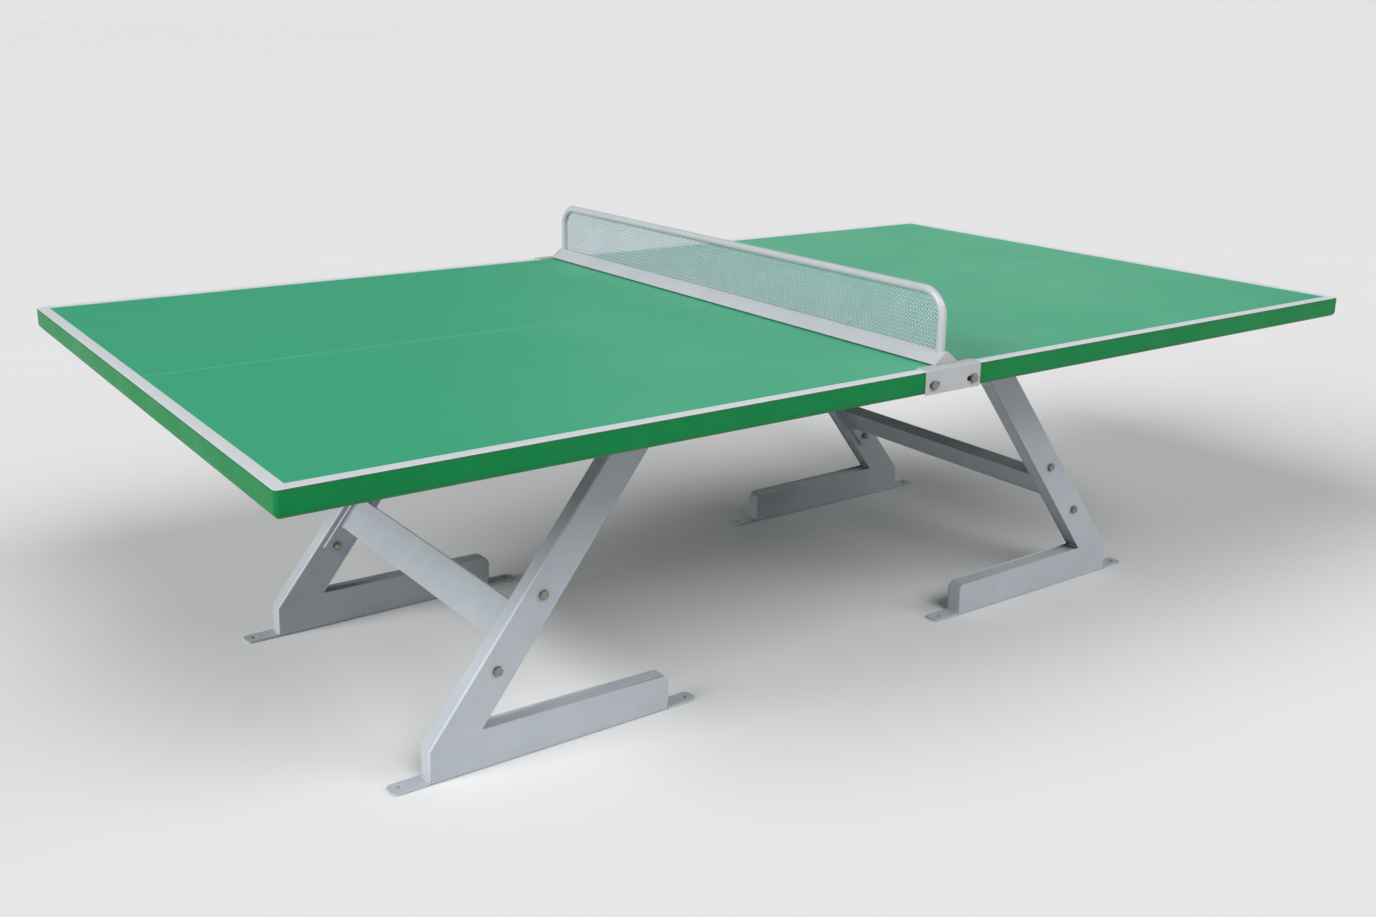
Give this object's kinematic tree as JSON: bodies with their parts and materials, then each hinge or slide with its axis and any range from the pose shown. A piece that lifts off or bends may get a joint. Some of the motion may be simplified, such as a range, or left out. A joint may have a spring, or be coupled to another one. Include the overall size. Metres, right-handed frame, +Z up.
{
  "type": "table tennis table",
  "caption": "Outdoor table tennis table with a green steel top in two halves, leaning box-tube legs on long feet, cross braces and a fixed steel mesh net.",
  "frame": {"origin": "on the ground under the middle of the top, at the net line", "axes": "+X along the table's length to the right, +Y across it to the far side, +Z up"},
  "size_m": [2.74, 1.5438, 0.9125],
  "materials": {
    "playing_surface": "satin green coating with light border lines",
    "green_edge": "satin green powder coat",
    "underframe": "matt green powder coat",
    "leg_coating": "silver grey powder coat",
    "net_frame": "light grey powder coat",
    "net_mesh": "light grey coated expanded steel",
    "zinc_fasteners": "bright zinc plate"
  },
  "bodies": {
    "table": {"brace_bolts": "zinc_fasteners", "brace_left": "leg_coating", "brace_nuts": "zinc_fasteners", "brace_plate_left_far": "leg_coating", "brace_plate_left_near": "leg_coating", "brace_plate_right_far": "leg_coating", "brace_plate_right_near": "leg_coating", "brace_right": "leg_coating", "centre_bolts": "zinc_fasteners", "centre_nuts": "zinc_fasteners", "centre_rail_left": "underframe", "centre_rail_right": "underframe", "end_rail_left": "green_edge", "end_rail_right": "green_edge", "foot_left_far": "leg_coating", "foot_left_near": "leg_coating", "foot_right_far": "leg_coating", "foot_right_near": "leg_coating", "inner_anchor_tab_left_far": "leg_coating", "inner_anchor_tab_left_near": "leg_coating", "inner_anchor_tab_right_far": "leg_coating", "inner_anchor_tab_right_near": "leg_coating", "leg_beam_left": "underframe", "leg_beam_right": "underframe", "leg_left_far": "leg_coating", "leg_left_near": "leg_coating", "leg_plate_bolts": "zinc_fasteners", "leg_plate_nuts": "zinc_fasteners", "leg_right_far": "leg_coating", "leg_right_near": "leg_coating", "leg_top_plate_left_far": "leg_coating", "leg_top_plate_left_near": "leg_coating", "leg_top_plate_right_far": "leg_coating", "leg_top_plate_right_near": "leg_coating", "net_bolts": "zinc_fasteners", "net_nuts": "zinc_fasteners", "outer_anchor_tab_left_far": "leg_coating", "outer_anchor_tab_left_near": "leg_coating", "outer_anchor_tab_right_far": "leg_coating", "outer_anchor_tab_right_near": "leg_coating", "outer_joist_left": "underframe", "outer_joist_right": "underframe", "side_rail_far_left": "green_edge", "side_rail_far_right": "green_edge", "side_rail_near_left": "green_edge", "side_rail_near_right": "green_edge", "top_sheet_left": "playing_surface", "top_sheet_right": "playing_surface"},
    "net_assembly": {"net_base": "net_frame", "net_bracket_far": "net_frame", "net_bracket_near": "net_frame", "net_frame": "net_frame", "net_gusset_far": "net_frame", "net_gusset_near": "net_frame", "net_mesh": "net_mesh"}
  },
  "joints": [
    {"name": "net_shift", "type": "slide", "parent": "table", "child": "net_assembly", "axis": [1, 0, 0], "range_m": [-0.005, 0.005]}
  ]
}
